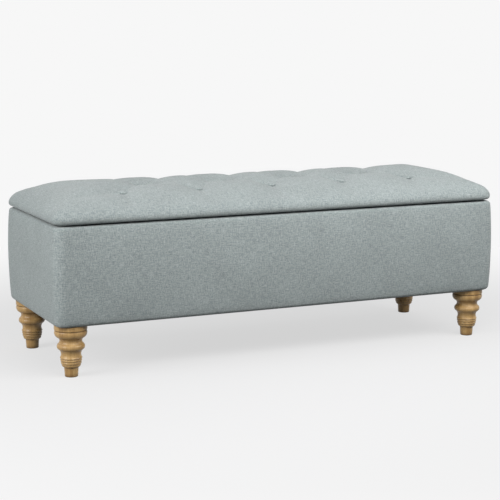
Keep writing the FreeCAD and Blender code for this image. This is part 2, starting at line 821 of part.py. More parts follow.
def place_strut(thing, sign, y, z, turn):
    """Stand a strut's piece on its stud, tilted along the line of the two studs."""
    thing.Placement = Placement(Vector(), Rotation(Vector(1, 0, 0), 0))
    bind(thing, "Placement.Rotation.Angle", f"{STRUT_TILT} + {turn}")
    bind(thing, "Placement.Base.x", f"{sign} * {STRUT_X}")
    bind(thing, "Placement.Base.y", y)
    bind(thing, "Placement.Base.z", z)


def make_strut(side, sign):
    """A gas strut with its two brackets: the tube stands on the box and the rod on the lid."""
    plate_x = f"({LINED_X} - bracket_thick)"
    plate = block(
        f"{side}_base_plate",
        mirrored(sign, plate_x, LINED_X),
        (f"{BASE_STUD_Y} - bracket_width / 2", f"{BASE_STUD_Y} + bracket_width / 2"),
        (f"{BASE_STUD_Z} - bracket_length / 2", f"{BASE_STUD_Z} + bracket_length / 2"),
    )
    pieces = stud(f"{side}_base_stud", sign, plate_x, BASE_STUD_Y, BASE_STUD_Z)
    node(fuse(f"{side}_base_mount", [plate, *pieces]), f"strut_base_bracket_{side}")

    tab_x = f"({LINED_X} - tab_gap - bracket_thick)"
    tab_out_x = f"({LINED_X} - tab_gap)"
    tab_y = (f"{LID_STUD_Y} - bracket_width / 2", f"{LID_STUD_Y} + bracket_width / 2")
    drop = f"({LID_STUD_Z} - eye_radius)"
    tab = block(f"{side}_tab", mirrored(sign, tab_x, tab_out_x), tab_y, (drop, LID_BOTTOM))
    foot = block(
        f"{side}_lid_plate",
        mirrored(sign, f"({tab_out_x} - bracket_width)", tab_out_x),
        (f"{LID_STUD_Y} - bracket_length / 2", f"{LID_STUD_Y} + bracket_length / 2"),
        (f"{LID_BOTTOM} - bracket_thick", LID_BOTTOM),
    )
    pieces = stud(f"{side}_lid_stud", sign, tab_x, LID_STUD_Y, LID_STUD_Z)
    node(fuse(f"{side}_lid_mount", [tab, foot, *pieces]), f"strut_lid_bracket_{side}")

    eye, neck, hole = strut_end(f"{side}_tube")
    barrel_z = ("neck_length - 4", "tube_length")
    barrel = round_z(f"{side}_barrel", "tube_radius", "0", "0", barrel_z)
    inside_z = ("neck_length", "tube_length - gland_length")
    inside = round_z(f"{side}_inside", "tube_bore", "0", "0", inside_z)
    gland_z = ("tube_length - gland_length", "tube_length + 1")
    gland = round_z(f"{side}_gland", "gland_radius", "0", "0", gland_z)
    whole = fuse(f"{side}_tube_blank", [eye, neck, barrel])
    tube = node(cut(f"{side}_tube_bored", whole, [hole, inside, gland]), f"strut_tube_{side}")
    place_strut(tube, sign, BASE_STUD_Y, BASE_STUD_Z, "0 deg")

    eye, neck, hole = strut_end(f"{side}_rod")
    shaft = round_z(f"{side}_shaft", "rod_radius", "0", "0", ("0", "rod_length"))
    whole = fuse(f"{side}_rod_blank", [eye, neck, shaft])
    rod = node(cut(f"{side}_rod_bored", whole, [hole]), f"strut_rod_{side}")
    place_strut(rod, sign, LID_STUD_Y, LID_STUD_Z, "180 deg")


def make_buffers():
    """Rubber buffers on the front rim that the lid comes down on."""
    for side, sign in SIDES:
        buffer = round_z(
            f"{side}_buffer",
            "buffer_radius",
            f"{sign} * ({HALF_X} - buffer_inset)",
            f"-{SCREW_Y}",
            ("rim_height", f"{LID_BOTTOM} - free_gap"),
        )
        node(buffer, f"lid_buffer_{side}")


def build():
    """Make every sub-part, check it and write its file."""
    make_panels()
    make_floor_frame()
    make_padding()
    make_body_cover()
    make_lining()
    make_legs()
    make_lid()
    make_hinges()
    for side, sign in SIDES:
        make_strut(side, sign)
    make_buffers()
    doc.recompute()
    for thing in doc.Objects:
        if "Invalid" in thing.State or "Error" in thing.State:
            raise RuntimeError(f"{thing.Label} failed: {thing.getStatusString()}")
    for rest in cuts:
        if rest.Shape.Volume > rest.Base.Shape.Volume - 0.01:
            raise RuntimeError(f"{rest.Label} removed nothing")
    for thing in nodes:
        shape = thing.Shape
        if shape.isNull() or not shape.isValid() or not shape.Solids:
            raise RuntimeError(f"{thing.Label} has no valid solid")
    os.makedirs("parts", exist_ok=True)
    for thing in nodes:
        thing.Shape.exportStep(f"parts/{thing.Label}.step")
    print(len(nodes), "sub-parts")


build()
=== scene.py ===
"""A long storage ottoman: padded box on turned legs, with a diamond-tufted lid on gas struts.

Everything is in metres, in the frame of the construction model: +X along the box, -Y the front
and +Z up, with the origin on the floor.
"""

import json
import logging
import math
from collections.abc import Callable
from dataclasses import dataclass, field
from enum import Enum

import bmesh
import bpy
from mathutils import Matrix, Vector, noise


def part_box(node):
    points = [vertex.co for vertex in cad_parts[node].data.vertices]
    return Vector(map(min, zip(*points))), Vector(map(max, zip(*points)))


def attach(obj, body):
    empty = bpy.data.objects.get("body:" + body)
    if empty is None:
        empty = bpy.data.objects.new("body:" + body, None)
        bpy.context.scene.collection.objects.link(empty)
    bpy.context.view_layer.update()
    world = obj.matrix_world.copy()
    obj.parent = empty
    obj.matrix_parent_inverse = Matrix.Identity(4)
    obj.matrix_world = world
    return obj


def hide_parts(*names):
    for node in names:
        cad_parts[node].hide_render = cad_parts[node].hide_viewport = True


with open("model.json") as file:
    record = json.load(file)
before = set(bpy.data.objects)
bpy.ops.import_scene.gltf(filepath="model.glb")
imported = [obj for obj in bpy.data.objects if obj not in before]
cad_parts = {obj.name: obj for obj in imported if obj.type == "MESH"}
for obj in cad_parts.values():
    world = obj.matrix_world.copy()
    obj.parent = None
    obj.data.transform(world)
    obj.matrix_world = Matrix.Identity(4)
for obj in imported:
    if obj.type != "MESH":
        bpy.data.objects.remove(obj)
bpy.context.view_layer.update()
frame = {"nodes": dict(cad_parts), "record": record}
log = logging.getLogger("ottoman")

Colour = tuple[float, float, float]
Point2 = tuple[float, float]


def linear(colour: Colour) -> tuple[float, float, float, float]:
    """Turn an sRGB colour of 0 to 255 into a linear one with alpha.

    Args:
        colour: The colour as it should look, each part from 0 to 255.

    Returns:
        The linear colour that a shader socket takes.
    """
    parts = [c / 255.0 for c in colour]
    return (*[p / 12.92 if p <= 0.04045 else ((p + 0.055) / 1.055) ** 2.4 for p in parts], 1.0)


# --------------------------------------------------------------------------- finishes


class Nodes:
    """A material's node tree, with short calls for the nodes used here."""

    def __init__(self, name: str) -> None:
        """Start an empty material.

        Args:
            name: The material's name.
        """
        self.material = bpy.data.materials.new(name)
        self.material.use_nodes = True
        self.tree = self.material.node_tree
        self.tree.nodes.clear()
        self.output = self.tree.nodes.new("ShaderNodeOutputMaterial")
        self.shader = self.tree.nodes.new("ShaderNodeBsdfPrincipled")
        self.tree.links.new(self.shader.outputs["BSDF"], self.output.inputs["Surface"])

    def link(self, source: bpy.types.NodeSocket, target: bpy.types.NodeSocket) -> None:
        """Join an output to an input.

        Args:
            source: The output.
            target: The input.
        """
        self.tree.links.new(source, target)

    def coordinates(self, kind: str) -> bpy.types.NodeSocket:
        """Give a texture coordinate.

        Args:
            kind: Object or UV.

        Returns:
            The coordinates.
        """
        return self.tree.nodes.new("ShaderNodeTexCoord").outputs[kind]

    def stretched(self, source: bpy.types.NodeSocket, scale: Colour) -> bpy.types.NodeSocket:
        """Scale coordinates along each axis.

        Args:
            source: The coordinates.
            scale: The factor along X, Y and Z.

        Returns:
            The scaled coordinates.
        """
        mapping = self.tree.nodes.new("ShaderNodeMapping")
        mapping.inputs["Scale"].default_value = scale
        self.link(source, mapping.inputs["Vector"])
        return mapping.outputs["Vector"]

    def noise(
        self, source: bpy.types.NodeSocket, scale: float, detail: float = 2.0, rough: float = 0.5
    ) -> bpy.types.NodeSocket:
        """Add a noise texture and give its value.

        Args:
            source: The coordinates.
            scale: Waves to the metre.
            detail: How many finer layers are added.
            rough: How strong the finer layers are.

        Returns:
            The noise from 0 to 1.
        """
        texture = self.tree.nodes.new("ShaderNodeTexNoise")
        texture.inputs["Scale"].default_value = scale
        texture.inputs["Detail"].default_value = detail
        texture.inputs["Roughness"].default_value = rough
        self.link(source, texture.inputs["Vector"])
        return texture.outputs["Fac"]

    def wave(
        self, source: bpy.types.NodeSocket, scale: float, axis: str, wobble: float = 0.0
    ) -> bpy.types.NodeSocket:
        """Add plain bands across one axis.

        Args:
            source: The coordinates.
            scale: Blender's wave scale, about the bands to 0.3 m.
            axis: X, Y or Z.
            wobble: How far the bands wander.

        Returns:
            The bands from 0 to 1.
        """
        texture = self.tree.nodes.new("ShaderNodeTexWave")
        texture.bands_direction = axis
        texture.inputs["Scale"].default_value = scale
        texture.inputs["Distortion"].default_value = wobble
        self.link(source, texture.inputs["Vector"])
        return texture.outputs["Fac"]

    def maths(
        self, kind: str, first: bpy.types.NodeSocket | float, second: bpy.types.NodeSocket | float
    ) -> bpy.types.NodeSocket:
        """Combine two values.

        Args:
            kind: The Math node's operation.
            first: A socket or a number.
            second: A socket or a number.

        Returns:
            The result.
        """
        node = self.tree.nodes.new("ShaderNodeMath")
        node.operation = kind
        for i, value in enumerate((first, second)):
            if isinstance(value, (int, float)):
                node.inputs[i].default_value = value
            else:
                self.link(value, node.inputs[i])
        return node.outputs["Value"]

    def ramp(
        self, source: bpy.types.NodeSocket, stops: list[tuple[float, Colour]]
    ) -> bpy.types.NodeSocket:
        """Colour a value.

        Args:
            source: A value from 0 to 1.
            stops: Places and sRGB colours, low to high.

        Returns:
            The colour.
        """
        node = self.tree.nodes.new("ShaderNodeValToRGB")
        elements = node.color_ramp.elements
        while len(elements) < len(stops):
            elements.new(0.5)
        for element, (place, colour) in zip(elements, stops):
            element.position = place
            element.color = linear(colour)
        self.link(source, node.inputs["Fac"])
        return node.outputs["Color"]

    def mix(
        self,
        share: bpy.types.NodeSocket | float,
        first: bpy.types.NodeSocket,
        second: bpy.types.NodeSocket,
        kind: str = "MIX",
    ) -> bpy.types.NodeSocket:
        """Blend two colours.

        Args:
            share: How much of the second, as a socket or a number.
            first: The first colour.
            second: The second colour.
            kind: The blend type.

        Returns:
            The blended colour.
        """
        node = self.tree.nodes.new("ShaderNodeMix")
        node.data_type = "RGBA"
        node.blend_type = kind
        if isinstance(share, (int, float)):
            node.inputs[0].default_value = share
        else:
            self.link(share, node.inputs[0])
        self.link(first, node.inputs[6])
        self.link(second, node.inputs[7])
        return node.outputs[2]

    def colour(self, source: bpy.types.NodeSocket) -> None:
        """Paint the surface.

        Args:
            source: The colour.
        """
        self.link(source, self.shader.inputs["Base Color"])

    def bump(self, height: bpy.types.NodeSocket, depth: float, strength: float = 1.0) -> None:
        """Raise the surface by a height from 0 to 1.

        Args:
            height: The height value.
            depth: The full height in metres.
            strength: How much of the bump is used.
        """
        node = self.tree.nodes.new("ShaderNodeBump")
        node.inputs["Strength"].default_value = strength
        node.inputs["Distance"].default_value = depth
        self.link(height, node.inputs["Height"])
        self.link(node.outputs["Normal"], self.shader.inputs["Normal"])

    def roughness_between(self, source: bpy.types.NodeSocket, low: float, high: float) -> None:
        """Vary the roughness with a value.

        Args:
            source: A value from 0 to 1.
            low: The roughness where it is 0.
            high: The roughness where it is 1.
        """
        spread = self.maths("MULTIPLY", source, high - low)
        self.link(self.maths("ADD", spread, low), self.shader.inputs["Roughness"])


@dataclass(frozen=True)
class Weave:
    """Plain woven upholstery of mixed yarns, on the piece's own UV map in metres."""

    name: str
    yarn: Colour
    dark_yarn: Colour
    light_yarn: Colour
    threads_per_metre: float = 900.0
    sheen: float = 0.25

    def make(self) -> bpy.types.Material:
        """Build the material.

        Returns:
            The new material.
        """
        n = Nodes(self.name)
        uv = n.coordinates("UV")
        streak_u = n.noise(n.stretched(uv, (60.0, 420.0, 1.0)), 1.0, 3.0, 0.7)
        streak_v = n.noise(n.stretched(uv, (420.0, 60.0, 1.0)), 1.0, 3.0, 0.7)
        fleck = n.noise(uv, 300.0, 3.0, 0.75)
        cloud = n.noise(uv, 9.0, 2.0, 0.5)
        yarns = n.maths("MULTIPLY", n.maths("ADD", streak_u, streak_v), 0.5)
        mixed = n.maths("ADD", n.maths("MULTIPLY", yarns, 0.62), n.maths("MULTIPLY", fleck, 0.38))
        shade = n.ramp(
            mixed, [(0.40, self.dark_yarn), (0.5, self.yarn), (0.60, self.light_yarn)]
        )
        patch = n.ramp(cloud, [(0.3, (244, 244, 244)), (0.7, (255, 255, 255))])
        n.colour(n.mix(1.0, shade, patch, "MULTIPLY"))
        pitch = self.threads_per_metre * 2.0 * math.pi / 20.0
        over = n.wave(uv, pitch, "X", 0.6)
        under = n.wave(uv, pitch, "Y", 0.6)
        cloth = n.maths("MAXIMUM", over, under)
        height = n.maths("ADD", n.maths("MULTIPLY", cloth, 0.55), n.maths("MULTIPLY", mixed, 0.6))
        n.bump(height, 0.0007, 0.8)
        n.roughness_between(mixed, 0.96, 0.82)
        n.shader.inputs["Sheen Weight"].default_value = self.sheen
        n.shader.inputs["Sheen Roughness"].default_value = 0.45
        n.shader.inputs["Specular IOR Level"].default_value = 0.2
        return n.material


@dataclass(frozen=True)
class TurnedOak:
    """Lacquered turned wood with its grain upright, with shade painted dark into its grooves."""

    name: str
    pale: Colour
    mid: Colour
    dark: Colour

    def make(self) -> bpy.types.Material:
        """Build the material.

        Returns:
            The new material.
        """
        n = Nodes(self.name)
        place = n.coordinates("Object")
        grain = n.noise(n.stretched(place, (260.0, 260.0, 14.0)), 1.0, 4.0, 0.6)
        pores = n.noise(n.stretched(place, (900.0, 900.0, 60.0)), 1.0, 2.0, 0.5)
        rings = n.noise(n.stretched(place, (60.0, 60.0, 5.0)), 1.0, 2.0, 0.5)
        wood = n.ramp(rings, [(0.3, self.dark), (0.5, self.mid), (0.68, self.pale)])
        lines = n.ramp(grain, [(0.36, (190, 172, 150)), (0.56, (255, 255, 255))])
        wood = n.mix(0.3, wood, lines, "MULTIPLY")
        pits = n.ramp(pores, [(0.3, (150, 128, 104)), (0.42, (255, 255, 255))])
        wood = n.mix(0.25, wood, pits, "MULTIPLY")
        # Painted shade: ambient occlusion darkens the colour in the grooves and where the wood sits
        # close under other parts.
        hollow = n.tree.nodes.new("ShaderNodeAmbientOcclusion")
        hollow.inputs["Distance"].default_value = 0.012
        hollow.samples = 8
        painted_groove_shade = n.ramp(hollow.outputs["AO"], [(0.4, (84, 56, 32)), (0.95, (255, 255, 255))])
        n.colour(n.mix(0.85, wood, painted_groove_shade, "MULTIPLY"))
        n.bump(n.maths("ADD", grain, n.maths("MULTIPLY", pores, 0.6)), 0.0004, 0.5)
        n.roughness_between(grain, 0.44, 0.3)
        n.shader.inputs["Specular IOR Level"].default_value = 0.4
        return n.material


@dataclass(frozen=True)
class Board:
    """Flat sawn or plied wood, with long grain along X."""

    name: str
    pale: Colour
    dark: Colour

    def make(self) -> bpy.types.Material:
        """Build the material.

        Returns:
            The new material.
        """
        n = Nodes(self.name)
        place = n.coordinates("Object")
        grain = n.noise(n.stretched(place, (6.0, 120.0, 120.0)), 1.0, 4.0, 0.6)
        plies = n.wave(place, 105.0, "Z", 0.4)
        wood = n.ramp(grain, [(0.3, self.dark), (0.65, self.pale)])
        layers = n.ramp(plies, [(0.2, (196, 178, 156)), (0.5, (255, 255, 255))])
        n.colour(n.mix(0.35, wood, layers, "MULTIPLY"))
        n.bump(grain, 0.0003, 0.4)
        n.roughness_between(grain, 0.7, 0.55)
        return n.material


@dataclass(frozen=True)
class Felted:
    """Non-woven cloth, wadding or foam: a fine mat of fibres or cells."""

    name: str
    pale: Colour
    dark: Colour
    grain: float = 500.0
    depth: float = 0.0004

    def make(self) -> bpy.types.Material:
        """Build the material.

        Returns:
            The new material.
        """
        n = Nodes(self.name)
        place = n.coordinates("Object")
        mat = n.noise(place, self.grain, 3.0, 0.65)
        cloud = n.noise(place, self.grain / 25.0, 2.0, 0.5)
        both = n.maths("MULTIPLY", n.maths("ADD", mat, cloud), 0.5)
        n.colour(n.ramp(both, [(0.35, self.dark), (0.65, self.pale)]))
        n.bump(mat, self.depth, 0.7)
        n.roughness_between(mat, 0.95, 0.85)
        n.shader.inputs["Specular IOR Level"].default_value = 0.15
        return n.material


class Shine(Enum):
    """How a metal or rubber part is finished."""

    ZINC = "zinc"
    CHROME = "chrome"
    PAINT = "paint"
    RUBBER = "rubber"


@dataclass(frozen=True)
class Hardware:
    """Metal or rubber with fine scuffs."""

    name: str
    colour: Colour
    shine: Shine

    def make(self) -> bpy.types.Material:
        """Build the material.

        Returns:
            The new material.
        """
        n = Nodes(self.name)
        place = n.coordinates("Object")
        scuff = n.noise(place, 180.0, 4.0, 0.6)
        fine = n.noise(n.stretched(place, (90.0, 900.0, 900.0)), 1.0, 2.0, 0.5)
        dull = tuple(0.86 * c for c in self.colour)
        n.colour(n.ramp(scuff, [(0.35, dull), (0.62, self.colour)]))
        spans = {
            Shine.ZINC: (0.42, 0.26),
            Shine.CHROME: (0.14, 0.06),
            Shine.PAINT: (0.42, 0.3),
            Shine.RUBBER: (0.85, 0.7),
        }
        n.roughness_between(scuff, *spans[self.shine])
        n.bump(fine, 0.0001, 0.3)
        metallic = self.shine in (Shine.ZINC, Shine.CHROME)
        n.shader.inputs["Metallic"].default_value = 1.0 if metallic else 0.0
        return n.material


UPHOLSTERY = Weave("upholstery", (158, 167, 166), (131, 141, 141), (187, 194, 193))
FINISHES = {
    "upholstery": UPHOLSTERY,
    "oak": TurnedOak("oak", (200, 166, 112), (186, 151, 98), (164, 129, 80)),
    "plywood": Board("plywood", (214, 184, 142), (186, 150, 106)),
    "wadding": Felted("wadding", (236, 236, 230), (214, 214, 208), 240.0, 0.0012),
    "foam": Felted("foam", (232, 224, 196), (212, 202, 172), 700.0, 0.0006),
    "lining": Felted("lining", (62, 62, 64), (40, 40, 42), 600.0),
    "dust_fabric": Felted("dust_fabric", (42, 42, 44), (26, 26, 28), 600.0),
    "twine": Felted("twine", (206, 198, 176), (172, 162, 138), 1800.0),
    "buffer_rubber": Hardware("buffer_rubber", (38, 38, 38), Shine.RUBBER),
    "strut_black": Hardware("strut_black", (30, 30, 32), Shine.PAINT),
    "strut_chrome": Hardware("strut_chrome", (226, 226, 226), Shine.CHROME),
    "bracket_steel": Hardware("bracket_steel", (196, 196, 194), Shine.ZINC),
    "zinc_steel": Hardware("zinc_steel", (200, 200, 196), Shine.ZINC),
}


# --------------------------------------------------------------------------- modelling helpers


def deselect() -> None:
    """Leave object mode with nothing selected."""
    if bpy.context.object and bpy.context.object.mode != "OBJECT":
        bpy.ops.object.mode_set(mode="OBJECT")
    bpy.ops.object.select_all(action="DESELECT")


def select_in_edit(piece: bpy.types.Object, kind: str, test: Callable[..., bool]) -> None:
    """Select vertices, edges or faces by their place and stay in edit mode.

    Args:
        piece: The object being edited.
        kind: VERT, EDGE or FACE.
        test: Called with each element, giving whether it is wanted.
    """
    bpy.ops.mesh.select_mode(type=kind)
    bpy.ops.mesh.select_all(action="DESELECT")
    mesh = bmesh.from_edit_mesh(piece.data)
    elements = {"VERT": mesh.verts, "EDGE": mesh.edges, "FACE": mesh.faces}[kind]
    for element in elements:
        element.select = bool(test(element))
    mesh.select_flush_mode()
    bmesh.update_edit_mesh(piece.data)


def finished(piece: bpy.types.Object, name: str) -> bpy.types.Object:
    """Name a piece and put its place into its mesh.

    Args:
        piece: The object.
        name: Its new name.

    Returns:
        The same object, at the origin and unscaled.
    """
    if piece.mode != "OBJECT":
        bpy.ops.object.mode_set(mode="OBJECT")
    piece.name = name
    piece.data.name = name
    piece.data.transform(piece.matrix_world)
    piece.matrix_world = Matrix.Identity(4)
    return piece


def apply_modifier(piece: bpy.types.Object, kind: str, **settings: float | int | str | bool) -> None:
    """Add a modifier, set it and apply it.

    Args:
        piece: The object.
        kind: The modifier's type.
        settings: Its properties.
    """
    deselect()
    piece.select_set(True)
    bpy.context.view_layer.objects.active = piece
    modifier = piece.modifiers.new(kind.lower(), kind)
    for key, value in settings.items():
        setattr(modifier, key, value)
    bpy.ops.object.modifier_apply(modifier=modifier.name)


def smooth(piece: bpy.types.Object, angle: float = 40.0) -> None:
    """Shade smooth, and keep the sharper edges.

    Args:
        piece: The object.
        angle: Edges that turn by more than this, in degrees, stay sharp.
    """
    deselect()
    piece.select_set(True)
    bpy.context.view_layer.objects.active = piece
    bpy.ops.object.shade_smooth_by_angle(angle=math.radians(angle))


def dress(piece: bpy.types.Object, material: bpy.types.Material, body: str) -> None:
    """Give a piece its material and its place in the record.

    Args:
        piece: The object.
        material: Its material.
        body: The body it rides on.
    """
    piece.data.materials.clear()
    piece.data.materials.append(material)
    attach(piece, body)


def through(points: list[Point2], share: float) -> Point2:
    """Follow a smooth line through points.

    Args:
        points: At least two points.
        share: How far along, from 0 to 1, by point number.

    Returns:
        The point there, on a Catmull-Rom curve.
    """
    span = min(max(share, 0.0), 1.0) * (len(points) - 1)
    i = min(int(span), len(points) - 2)
    t = span - i
    p0, p1, p2, p3 = (points[min(max(i + k, 0), len(points) - 1)] for k in (-1, 0, 1, 2))
    return tuple(
        0.5 * (2 * b + (c - a) * t + (2 * a - 5 * b + 4 * c - d) * t**2 + (3 * b - a - 3 * c + d) * t**3)
        for a, b, c, d in zip(p0, p1, p2, p3)
    )


def evenly(points: list[Point2], count: int) -> list[tuple[float, float, float]]:
    """Walk a smooth line in even steps.

    Args:
        points: The points that it passes through.
        count: How many samples are taken.

    Returns:
        Each sample as the length walked so far and the point's two coordinates.
    """
    walked = 0.0
    before = points[0]
    samples = []
    for k in range(count):
        here = through(points, k / (count - 1))
        walked += math.dist(before, here)
        samples.append((walked, *here))
        before = here
    return samples


def at_length(samples: list[tuple[float, float, float]], length: float) -> Point2:
    """Find the place on a sampled line after a given length.

    Args:
        samples: The line, as evenly() gives it.
        length: How far to walk along it.

    Returns:
        The point there.
    """
    low, high = 0, len(samples) - 1
    length = min(max(length, 0.0), samples[-1][0])
    while high - low > 1:
        middle = (low + high) // 2
        if samples[middle][0] <= length:
            low = middle
        else:
            high = middle
    a, b = samples[low], samples[high]
    t = (length - a[0]) / max(b[0] - a[0], 1e-9)
    return a[1] + (b[1] - a[1]) * t, a[2] + (b[2] - a[2]) * t


# --------------------------------------------------------------------------- upholstered box


@dataclass
class BoxCover:
    """Fabric over the padded box: hemmed under, crowned on each side and turned in at the rim."""

    corner_radius: float = 0.022
    corner_segments: int = 8
    rim_radius: float = 0.007
    hem_radius: float = 0.010
    hem_turn: float = 0.036
    mouth_turn: float = 0.026
    crown: float = 0.0085
    corner_crown: float = 0.8
    level_count: int = 18
    cuts_along: int = 79
    cuts_across: int = 27
    corner_reach: float = 0.12
    cloth: float = 0.001
    low: Vector = field(default_factory=lambda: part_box("body_cover")[0])
    high: Vector = field(default_factory=lambda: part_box("body_cover")[1])

    def outline(self) -> list[Point2]:
        """Draw the section up the side.

        Returns:
            How far the cover draws in and its height, point by point.
        """
        rim, hem = self.rim_radius, self.hem_radius
        bottom, top = self.low.z, self.high.z
        points = [(self.hem_turn, bottom), (hem + 0.004, bottom)]
        for k in range(5):
            turn = math.radians(90 * k / 4)
            points.append((hem * (1 - math.sin(turn)), bottom + hem * (1 - math.cos(turn))))
        rise = (top - rim - bottom - hem) / self.level_count
        points += [(0.0, bottom + hem + rise * k) for k in range(1, self.level_count)]
        for k in range(5):
            turn = math.radians(90 * k / 4)
            points.append((rim * (1 - math.cos(turn)), top - rim + rim * math.sin(turn)))
        points += [(rim + 0.004, top), (self.mouth_turn, top)]
        return points

    def ring(self, half_x: float, half_y: float) -> bpy.types.Object:
        """Make the box's outline as a ring of edges, with fine steps along each side.

        Args:
            half_x: Half its length.
            half_y: Half its depth.

        Returns:
            An object in edit mode, with all of the ring selected.
        """
        deselect()
        bpy.ops.mesh.primitive_plane_add(size=1.0, location=(0, 0, 0))
        piece = bpy.context.object
        piece.scale = (2 * half_x, 2 * half_y, 1.0)
        bpy.ops.object.transform_apply(location=False, rotation=False, scale=True)
        bpy.ops.object.mode_set(mode="EDIT")
        bpy.ops.mesh.select_all(action="SELECT")
        bpy.ops.mesh.bevel(
            offset=self.corner_radius,
            offset_type="OFFSET",
            segments=self.corner_segments,
            affect="VERTICES",
        )
        bpy.ops.mesh.delete(type="ONLY_FACE")
        select_in_edit(piece, "EDGE", lambda e: e.calc_length() > half_x)
        bpy.ops.mesh.subdivide(number_cuts=self.cuts_along)
        select_in_edit(piece, "EDGE", lambda e: e.calc_length() > half_y)
        bpy.ops.mesh.subdivide(number_cuts=self.cuts_across)
        bpy.ops.mesh.select_mode(type="EDGE")
        bpy.ops.mesh.select_all(action="SELECT")
        return piece

    def crowned(self, place: Vector) -> Vector:
        """Move a point of a side out over the wadding.

        Args:
            place: The point on the flat-sided form.

        Returns:
            The point on the crowned one.
        """
        half = (self.high - self.low) / 2
        rise = (place.z - self.low.z) / (self.high.z - self.low.z)
        up = max(0.0, math.sin(math.pi * min(max(rise, 0.0), 1.0))) ** 0.55
        core = Vector([max(half[axis] - self.corner_radius, 0.0) for axis in (0, 1)])
        nearest = Vector([min(max(place[axis], -core[axis]), core[axis]) for axis in (0, 1)])
        away = place.xy - nearest
        if away.length < 1e-6:
            return place.copy()
        from_corner = min(1.0, (core - Vector(map(abs, nearest))).length / self.corner_reach)
        fullness = self.corner_crown + (1.0 - self.corner_crown) * from_corner * (2 - from_corner)
        ripple = noise.noise(Vector((place.x * 5.0, place.y * 5.0, place.z * 9.0)))
        swell = (self.crown * fullness + 0.0006 * ripple) * up
        shift = away.normalized() * swell
        return place + Vector((shift.x, shift.y, 0.0))

    def build(self) -> bpy.types.Object:
        """Extrude the ring up the section, crown it and give the fabric its thickness.

        Returns:
            The finished cover.
        """
        half_x = (self.high.x - self.low.x) / 2
        half_y = (self.high.y - self.low.y) / 2
        piece = self.ring(half_x, half_y)
        section = self.outline()
        inset, height = section[0]
        start = ((half_x - inset) / half_x, (half_y - inset) / half_y, 1.0)
        bpy.ops.transform.resize(value=start)
        bpy.ops.transform.translate(value=(0, 0, height))
        for (was, low), (now, high) in zip(section, section[1:]):
            bpy.ops.mesh.extrude_edges_move(TRANSFORM_OT_translate={"value": (0, 0, high - low)})
            if abs(now - was) > 1e-7:
                grow = ((half_x - now) / (half_x - was), (half_y - now) / (half_y - was), 1.0)
                bpy.ops.transform.resize(value=grow)
        bpy.ops.mesh.select_all(action="SELECT")
        bpy.ops.mesh.normals_make_consistent(inside=False)
        piece = finished(piece, "box_cover")
        self.lay_weave(piece, half_x)
        for vertex in piece.data.vertices:
            vertex.co = self.crowned(vertex.co)
        apply_modifier(piece, "SOLIDIFY", thickness=self.cloth, offset=-1.0)
        smooth(piece, 60.0)
        return piece

    def lay_weave(self, piece: bpy.types.Object, half_x: float) -> None:
        """Lay the weave flat on each side of the box.

        Args:
            piece: The cover, before its thickness.
            half_x: Half its length.
        """
        layer = piece.data.uv_layers.active or piece.data.uv_layers.new(name="UVMap")
        places = {i: vertex.co.copy() for i, vertex in enumerate(piece.data.vertices)}
        for polygon in piece.data.polygons:
            facing = polygon.normal
            middle = polygon.center
            on_end = abs(middle.x) / half_x > 0.985 and abs(facing.x) >= abs(facing.y)
            for loop in polygon.loop_indices:
                place = places[piece.data.loops[loop].vertex_index]
                if abs(facing.z) > 0.9:
                    layer.data[loop].uv = (place.x, place.y)
                elif on_end:
                    layer.data[loop].uv = (place.y + 3.0, place.z)
                else:
                    layer.data[loop].uv = (place.x, place.z)


# --------------------------------------------------------------------------- tufted lid


